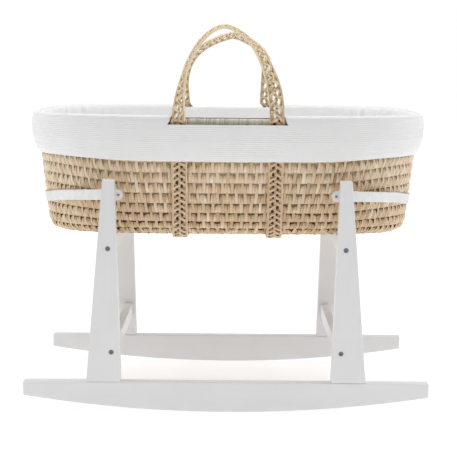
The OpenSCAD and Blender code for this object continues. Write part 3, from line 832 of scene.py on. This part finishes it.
def make_rim(skin):
    """Leaf wound round the rim in narrow slanting turns, over a section of inward and upward shares."""
    inward, upward = np.array([[0, -0.15], [0, 0.2], [0, 0.55], [0.1, 0.83], [0.3, 0.98], [0.5, 1.0],
                               [0.7, 0.98], [0.9, 0.83], [1, 0.55], [1, 0.0]]).T[..., None]
    count = 480
    turns = np.arange(count) + rng.normal(0, 0.06, count)
    girth = skin.girth(skin.v[-1])
    width = girth / count
    across = np.linspace(-1, 1, 4)
    slant = np.linspace(-0.3, 0.3, inward.size)[:, None] * width
    height = WALL_TOP + upward * RIM_H
    v = skin.ARC + height - BASE_Z - EDGE_R
    u = (turns[:, None, None] * width + slant + across * width * 0.5) / girth
    crown = -LEAF_CROWN * across**2 + rng.normal(0, 0.0002, count)[:, None, None]
    out = -inward * WALL_T + crown * np.where(inward > 0.5, -1, 1)
    points = skin.at(u, np.broadcast_to(v, u.shape), np.broadcast_to(out, u.shape))
    points[..., 2] = np.where(upward > 0.8, height + crown, points[..., 2])
    tone = np.clip(rng.normal(0.5, 0.17, count), 0.05, 0.95)
    hue = np.where(rng.random(count) < 0.25, rng.random(count), 0)
    # A core of painted shade inside the rim's leaf
    inside = shell(skin, v.flat[0], skin.v_of(WALL_TOP + 0.75 * RIM_H), 4, *RIM_SHADE_CORE)
    # The rim's leaf carries the painted reflection of the cloth
    strips = [grid(points, tone, hue, size=(width, 0.04)), grid(inside, slot=1)]
    place(build("basket_rim_binding", strips, [RIM_LEAF_PAINTED_REFLECTION, WEAVE_SHADE]), "basket", "basket_rim")


# Plaits


def leaf(path, through, wide, thick):
    """A narrow leaf along a path, flat across the direction through."""
    ring = np.linspace(0, 2 * pi, 7)[:-1]
    forward = unit(np.gradient(path, axis=0))
    flat = unit(np.cross(through, forward))
    thin = np.cross(forward, flat)
    points = (path[:, None] + flat[:, None] * (np.cos(ring) * wide / 2)[:, None]
              + thin[:, None] * (np.sin(ring) * thick / 2)[:, None])
    points[[0, -1]] = path[[0, -1], None]
    tone = np.clip(rng.normal(0.49, 0.2), 0.05, 0.9)
    return grid(points, tone, rng.choice([0, 0, -0.7, 0.4]), closed=True, size=(0.02, lengths(path)[-1]))


def plait(centre, across, through, phase, width, thick, strand_w, pitch, edge_w):
    """Three strands woven along a centre line of evenly spaced points, with two straight leaves at each edge.

    Each strand is a few leaves side by side. It stays longest at the edges and in the middle, and its leaves
    draw together where it crosses over.
    """
    t = lengths(centre)
    uneven = t + 0.0018 * np.sin(t / 0.0132 + phase) + 0.0008 * np.sin(t / 0.0059 + 2 * phase)
    leaf_t = thick * STRAND_T
    rise = (thick - leaf_t) * STRAND_RISE
    reach = (width - strand_w - edge_w) / 2
    step = strand_w / STRAND_LEAVES
    grids = []
    for strand in range(3):
        turn = 2 * pi * (uneven / pitch + strand / 3) + phase
        share = within(np.arcsin(np.abs(np.sin(turn))), PLAIT_CROSSING)
        sideways = reach * np.sign(np.sin(turn)) * share
        path = centre + across * sideways[:, None] + through * (rise * np.sin(2 * turn))[:, None]
        flat = unit(np.cross(through, unit(np.gradient(path, axis=0))))
        bunch = 1 - STRAND_BUNCH * (4 * share * (1 - share))
        for k in range(STRAND_LEAVES):
            shift = (k - (STRAND_LEAVES - 1) / 2) * step * bunch
            wander = shift + STRAND_WANDER * np.sin(2 * pi * (t / 0.031 + rng.random()))
            wide = step * rng.normal(STRAND_LAP, 0.06)
            grids.append(leaf(path + flat * wander[:, None], through, wide, leaf_t))
    for hand, k in ((-1, 0), (-1, 1), (1, 0), (1, 1)):
        edge = hand * (width / 2 - edge_w * (0.25 + 0.5 * k)) + 0.0002 * np.sin(t / 0.004 + k)
        path = centre + across * edge[:, None]
        grids.append(leaf(path, through, edge_w * EDGE_LEAF_W, thick * EDGE_LEAF_T))
    return grids


def plait_shade_core(centre, across, through):
    """A dark core of painted shade inside a band, behind the gaps between its strands."""
    width, thick = BAND["width"], BAND["thick"]
    corner = [(-0.34, -0.40), (0.34, -0.40), (0.34, -0.30), (-0.34, -0.30)]
    core = np.stack([centre + across * (a * width) + through * (b * thick) for a, b in corner], axis=1)
    core[[0, -1]] = centre[[0, -1], None]
    return grid(core, slot=1, closed=True)


def band_line():
    """Middle line of a carry band in the Y-Z plane, from the rim's front under the base to its rear."""
    inner_x = BAND_X - BAND["width"] / 2
    heights = np.concatenate([
        np.linspace(RIM_Z, BASE_Z + EDGE_R, 40),
        BASE_Z + EDGE_R * (1 - np.cos(np.linspace(pi / 2, 0, 14)[1:])),
    ])
    front = np.array([(-wall_y(z, inner_x), z) for z in heights])
    line = np.concatenate([front, front[::-1] * (-1, 1)])
    step = unit(np.gradient(line, axis=0))
    outward = np.stack([step[:, 1], -step[:, 0]], axis=1)
    return line + outward * (CLEAR + BAND["thick"] / 2)


def make_bands():
    line = band_line()
    line = evenly(line, int(lengths(line)[-1] / (BAND["pitch"] / 22)))
    step = unit(np.gradient(line, axis=0))
    for name, side in (("left_carry_band", -1), ("right_carry_band", 1)):
        centre = np.stack([np.full(len(line), side * BAND_X), line[:, 0], line[:, 1]], axis=1)
        through = np.stack([np.zeros(len(line)), step[:, 1], -step[:, 0]], axis=1)
        across = np.tile([float(side), 0, 0], (len(line), 1))
        grids = plait(centre, across, through, side, **BAND)
        # A core of painted shade behind the gaps between the strands
        grids.append(plait_shade_core(centre, across, through))
        band = build(name + "_plait", grids, [STRAW, PLAIT_SHADE])
        place(band, "basket", name)


def arch(shape, up, side):
    """Middle, width and thickness directions along a handle, whose braid turns on edge towards its top."""
    x_way = np.array([1.0, 0, 0])
    height, powers, sways = shape["height"], shape["powers"], shape["sways"]
    along = np.linspace(-1, 1, 900)
    turn = pi / 2 * (1 - np.abs(along)) ** (powers[1] / 2)
    x = -np.sign(along) * np.cos(turn) ** (2 / powers[0])
    z = np.sin(turn) ** (2 / powers[1])
    sway = sways[0] * ease(z / SWAY_START) + sways[1] * z**2
    centre = (x * BAND_X + sway)[:, None] * x_way + (z * height)[:, None] * up
    slope_x = np.sign(x) * powers[0] * np.abs(x) ** (powers[0] - 1) / BAND_X
    slope_z = powers[1] * z ** (powers[1] - 1) / height
    out = unit(slope_x[:, None] * x_way + slope_z[:, None] * up)
    span = [np.where(x < 0, *pair) for pair in zip(*shape["turns"])]
    twist = (shape["twist"] * within(z, span))[:, None]
    across = out * np.cos(twist) + side * np.sin(twist)
    through = side * np.cos(twist) - out * np.sin(twist)
    return np.stack([centre, across, through])


def make_handles():
    for body, shape in HANDLES.items():
        face = shape["face"]
        up = np.array([0, face * sin(HANDLE_LEAN), cos(HANDLE_LEAN)])
        side = np.array([0, face * cos(HANDLE_LEAN), -sin(HANDLE_LEAN)])
        rows = arch(shape, up, side)
        ends = rows[:, [0, -1]] + np.array([-up * HANDLE_TUCK, [0, 0, 0], [0, 0, 0]])[:, None]
        rows = np.concatenate([ends[:, :1], rows, ends[:, 1:]], axis=1)
        far = lengths(rows[0])
        marks = np.linspace(0, far[-1], int(far[-1] / (GRIP["pitch"] / 26)))
        centre, across, through = (resample(line, far, marks) for line in rows)
        root = np.array(HINGE[body])
        grids = plait(centre + root, unit(across), unit(through), face, **GRIP)
        handle = build(body + "_plait", grids, [GOLDEN])
        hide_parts(body)
        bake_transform(handle)


# Liner


def slotted_ring(z, gap, slot_n, end_n):
    """One turn of the plan with the slots' ends at the same x on every level."""
    half_l, half_w, power = sizes_at(min(z, RIM_Z))
    half_l, half_w = half_l + gap[0], half_w + gap[1]
    x = np.linspace(-SLOT_L / 2, SLOT_L / 2, slot_n + 1)[:-1]
    y = half_w * (1 - (np.abs(x) / half_l) ** power) ** (1 / power)
    corner = acos((SLOT_L / 2 / half_l) ** (power / 2))
    ex, ey = oval(np.linspace(-corner, corner, 1600), half_l, half_w, power)
    end = evenly(np.stack([ex, ey], axis=1), end_n + 1)[:-1]
    front = np.stack([x, -y], axis=1)
    plan = np.concatenate([front, end, -front, -end])
    return np.concatenate([plan, np.full((len(plan), 1), z)], axis=1)


def rib(i):
    """Height of the skirt's ribs at a point of its profile, with four points to a rib."""
    return RIB_H * (0.5 - 0.5 * cos(2 * pi * i / 4)) - RIB_H


def skirt_profile():
    """Ends' gap, sides' gap, height and share of the drop, from the skirt's hem to inside its fold."""
    fold_z = RIM_Z + CLEAR
    count = 4 * round((fold_z - SKIRT_HEM) / RIB_PITCH)
    rows = []
    for i in range(count + 1):
        share = i / count
        gaps = [np.interp(share, SKIRT_SHARES, gaps) + rib(i) for gaps in (SKIRT_END_GAPS, SKIRT_SIDE_GAPS)]
        rows.append((*gaps, SKIRT_HEM + share * (fold_z - SKIRT_HEM), 1 - share))
    inner = -LINING_GAP - LINING_T
    rise = SKIRT_TOP - fold_z
    for i in range(1, 21):
        turn = pi * 0.72 * i / 20
        share = (1 - cos(turn)) / 2
        gaps = [outer + (inner - outer) * share + rib(i) * cos(turn)
                for outer in (SKIRT_END_GAPS[-1], SKIRT_SIDE_GAPS[-1])]
        rows.append((*gaps, fold_z + rise * sin(turn) ** 0.8 + rib(i) * sin(turn), 0.0))
    return rows


def rear_rise(points, heights):
    """Raises what lies above the rim towards the rear, where the fold is plumper."""
    raised = points.copy()
    raised[..., 2] += REAR_FOLD_RISE * within(heights, REAR_FOLD_Z) * ease(points[..., 1] / REAR_FOLD_Y)
    return raised


def make_skirt():
    profile = skirt_profile()
    slot_z = SKIRT_TOP - SLOT_D
    slot_n, end_n = 88, 124
    rings = np.array([slotted_ring(z, (a, b), slot_n, end_n) for a, b, z, _ in profile])
    wave = np.linspace(0, 2 * pi, rings.shape[1], endpoint=False)
    outward = unit(rings[0] * (0.4, 1, 0))
    sway = 0.0006 * np.sin(9 * wave + 0.7) + 0.0005 * np.sin(17 * wave) + 0.0004 * np.sin(31 * wave + 2)
    heights, drop = np.array(profile).T[2:, :, None]
    rings += outward * (sway * drop)[..., None]
    rings[..., 2] += drop * HEM_RISE * within(np.abs(rings[..., 0]), HEM_RISE_X)
    rings = rear_rise(rings, heights)
    closed = np.concatenate([rings, rings[:, :1]], axis=1)
    in_slot = np.arange(rings.shape[1]) % (slot_n + end_n) < slot_n
    lip = np.argmax(heights > slot_z)
    open_share = slot_lips(closed, lip)
    skirt = build("liner_skirt_knit", [grid(closed, size=(2.2, 0.13))], [KNIT])
    rows = np.arange(len(heights) - 1)[:, None]
    inner = np.minimum(open_share[:-1], open_share[1:]) > 0.98
    gone = in_slot & ((rows == lip) | (rows > lip) & inner)
    remove_faces(skirt.data, np.flatnonzero(gone))
    thick = skirt.modifiers.new("cloth", "SOLIDIFY")
    thick.thickness = CLOTH_T
    thick.offset = -1.0
    place(skirt, "basket", "liner_skirt")


def slot_lips(rings, lip):
    """Draws the cloth above row lip back inside the slots, and gives each column's open share."""
    inside = SLOT_L / 2 - np.abs(rings[0, :, 0])
    sides = np.abs(rings[0, :, 1]) > 0.1
    open_share = np.where(sides, ease(inside / SLOT_TAPER), 0)
    last = len(rings) - 1
    rows = np.arange(lip + 1, last + 1)
    for column in np.flatnonzero(open_share > 0):
        first = lip + 1 + (last - lip - 1) * open_share[column]
        marks = first + (last - first) * (rows - lip - 1) / (last - lip - 1)
        rings[rows, column] = resample(rings[:, column], np.arange(last + 1), marks)
    return open_share


def remove_faces(mesh, gone):
    """Deletes the faces of these numbers, and welds the seam of a closed turn."""
    work = bmesh.new()
    work.from_mesh(mesh)
    work.faces.ensure_lookup_table()
    bmesh.ops.delete(work, geom=[work.faces[i] for i in gone], context="FACES")
    bmesh.ops.remove_doubles(work, verts=work.verts, dist=0.00001)
    work.to_mesh(mesh)
    work.free()


def lining_levels():
    """Insets, height and share of the curl up the lining: its foot, the wall's inside, then over the rim."""
    low, high = BASE_Z + BASE_T + CLEAR, RIM_Z - 0.004
    inner = LINING_GAP + LINING_T
    heights = low + (high - low) * np.linspace(0, 1, 18)
    foot = inner + edge_inset(low)
    insets = [(foot + reach, low + 0.0001) for reach in (0.040, 0.020, 0.006)]
    insets += [(inner + edge_inset(z), z) for z in heights]
    levels = [((inset, inset), z, 0.0) for inset, z in insets]
    end, side, top, _ = skirt_profile()[-1]
    for share in (0.25, 0.5, 0.75, 1.0):
        turn = share * pi / 2
        insets = tuple(inner - (inner + gap) * (1 - cos(turn)) for gap in (end, side))
        levels.append((insets, high + (top - high) * sin(turn), share))
    return levels


def make_lining():
    """Cotton inside the wall, gathered round both ends and curled over the rim under the skirt's fold."""
    columns = 620
    levels = lining_levels()
    low, high = levels[0][1], levels[-1][1]
    plan = np.array([turn_line(min(z, RIM_Z), insets, columns)[:-1] for insets, z, _ in levels])
    heights, curl = (np.array([level[i] for level in levels])[:, None] for i in (1, 2))
    at_slot = 1 - within(np.abs(plan[-1, :, 0]), LINING_SLOT_X)
    plan[..., 2] = np.minimum(heights, RIM_Z + 0.0014 * curl) * at_slot + heights * (1 - at_slot)
    plan = rear_rise(plan, plan[..., 2] - 0.003 * at_slot)
    step = np.roll(plan, -1, axis=1) - np.roll(plan, 1, axis=1)
    inward = unit(np.stack([-step[..., 1], step[..., 0], np.zeros(step.shape[:2])], axis=-1))
    around = np.linspace(0, 1, columns, endpoint=False)
    end_share = within(np.abs(plan[-1, :, 0]), GATHER_X)
    folds = np.zeros(columns)
    for waves, size in ((83, 0.5), (127, 0.3), (61, 0.35), (171, 0.16)):
        folds += size * np.sin(2 * pi * (waves * around + rng.random()))
    folds = np.clip(folds * 0.5 + 0.5, 0, 1) ** 1.2
    share = np.clip((heights - low) / (high - low), 0, 1)
    depth = GATHER_H * (0.25 + 0.75 * share**0.8) * end_share * folds * (1 - 0.9 * curl)
    drift = 0.0007 * np.sin(2 * pi * (11 * around + 0.6 * share)) * (1 - end_share)
    face = plan + inward * (depth + drift + 0.0007)[..., None]
    back = plan - inward * (LINING_T * 0.7)
    face[:4, :, 2] += 0.0002
    back[:4, :, 2] -= 0.0007
    loop = np.concatenate([face[::-1], back, face[-1:]])
    loop = np.concatenate([loop, loop[:, :1]], axis=1)
    lining = build("liner_lining_cotton", [grid(loop, size=(2.0, 0.3))], [LINING])
    remove_faces(lining.data, [])
    place(lining, "basket", "liner_lining")


# Mattress


def make_mattress():
    """A soft pad: a closed form that is swelled by cloth simulation."""
    low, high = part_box("mattress")
    half_l, half_w, deep = high.x - 0.002, high.y - 0.002, (high.z - low.z) * 0.70
    x, y = oval(np.linspace(0, 2 * pi, 97)[:-1], 1, 1, BASE_POWER)
    sections = [(0.0, 0.0), (0.5, 0.0), (0.88, 0.0), (0.975, 0.05), (1.0, 0.3), (0.99, 0.55), (1.0, 0.8),
                (0.975, 0.97), (0.9, 1.02), (0.6, 1.1), (0.3, 1.13), (0.0, 1.14)]
    rings = [np.stack([x * half_l * s, y * half_w * s, np.full_like(x, low.z + 0.001 + deep * t)], axis=1)
             for s, t in sections]
    pad = build("mattress_pad", [grid(np.array(rings), closed=True)], [PAD])
    remove_faces(pad.data, [])
    swell(pad, (high.x + 0.001, high.y + 0.001, low.z + 0.0004))
    pad.modifiers.new("round", "SUBSURF").levels = 1
    place(pad, "basket", "mattress")


def swell(obj, room):
    """Swells a closed form with cloth pressure. No point moves too far, or out of its room."""
    remesh = obj.modifiers.new("even", "REMESH")
    remesh.mode = "VOXEL"
    remesh.voxel_size = SWELL_VOXEL
    apply_modifiers(obj)
    before = np.array([v.co for v in obj.data.vertices])
    cloth = obj.modifiers.new("cloth", "CLOTH")
    cloth.settings.use_pressure = True
    cloth.settings.uniform_pressure_force = SWELL_PRESSURE
    cloth.settings.effector_weights.gravity = 0.0
    cloth.point_cache.frame_start, cloth.point_cache.frame_end = 1, SWELL_FRAMES
    for step in range(SWELL_FRAMES):
        scene.frame_set(step + 1)
    apply_modifiers(obj)
    move = np.array([v.co for v in obj.data.vertices]) - before
    far = np.linalg.norm(move, axis=1, keepdims=True)
    after = before + move * np.minimum(1, SWELL_MOST / np.maximum(far, 1e-9))
    shares = (np.abs(after[:, :2]) / room[:2]) ** BASE_POWER
    after[:, :2] /= np.maximum(shares.sum(axis=1) ** (1 / BASE_POWER), 1)[:, None]
    after[:, 2] = np.maximum(after[:, 2], room[2])
    obj.data.vertices.foreach_set("co", after.astype(np.float32).ravel())
    obj.data.shade_smooth()
    obj.data.update()
    scene.frame_set(1)


def apply_modifiers(obj):
    graph = bpy.context.evaluated_depsgraph_get()
    mesh = bpy.data.meshes.new_from_object(obj.evaluated_get(graph), depsgraph=graph)
    obj.modifiers.clear()
    obj.data = mesh


# Stage


def make_floor():
    """A white floor that keeps a pale shadow, and fades to white for the camera far from the object."""
    mesh = bpy.data.meshes.new("floor")
    corners = [(x * FLOOR_REACH, y * FLOOR_REACH, 0) for x, y in ((-1, -1), (1, -1), (1, 1), (-1, 1))]
    mesh.from_pydata(corners, [], [(0, 1, 2, 3)])
    floor = shown("floor", mesh)
    floor.location.z = -0.0005
    s = Shader("floor_white", Roughness=0.9, Base_Color=(0.82, 0.82, 0.82, 1), Specular_IOR_Level=0.0,
               Emission_Color=(1, 1, 1, 1))
    far = s.maths("LENGTH", s.spot(), family="VectorMath")
    camera_ray = s.add("LightPath").outputs["Is Camera Ray"]
    fade = s.maths("MULTIPLY", camera_ray, s.remap(far, 0.0, 0.28, FLOOR_FADE))
    s.fill(s.bsdf, Emission_Strength=s.maths("ADD", fade, FLOOR_GLOW))
    mesh.materials.append(s.material)


def make_world():
    """A surround that looks white, and lights the object less than it looks."""
    world = bpy.data.worlds.new("surround")
    scene.world = world
    world.use_nodes = True
    n = Nodes(world.node_tree)
    rays = n.add("LightPath").outputs
    seen = n.maths("MAXIMUM", rays["Is Camera Ray"], rays["Is Glossy Ray"])
    n.fill(n.tree.nodes["Background"], Color=(1, 1, 1, 1), Strength=n.remap(seen, WORLD_LIGHT, 1.0))


def make_lamps():
    for name, (spot, size, power) in LAMPS.items():
        data = bpy.data.lights.new(name, "AREA")
        data.shape = "RECTANGLE"
        data.size, data.size_y = size
        data.energy = power
        made = shown(name, data)
        made.location = spot
        made.rotation_euler = (LAMP_AIM - Vector(spot)).to_track_quat("-Z", "Y").to_euler()


def make_camera():
    data = bpy.data.cameras.new("photo_camera")
    data.lens = CAMERA_LENS
    data.sensor_width = SENSOR
    camera = shown("photo_camera", data)
    aim = Euler((radians(90 - CAMERA_DOWN), 0, 0)).to_matrix()
    aim = aim @ Matrix.Rotation(radians(CAMERA_ROLL), 3, "Z")
    camera.matrix_world = Matrix.Translation(CAMERA_PLACE) @ aim.to_4x4()
    scene.camera = camera


scene.view_settings.view_transform = "Standard"
make_camera()
make_floor()
make_world()
make_lamps()
finish_stand()
make_straps()
make_basket()
make_bands()
make_handles()
make_skirt()
make_lining()
make_mattress()
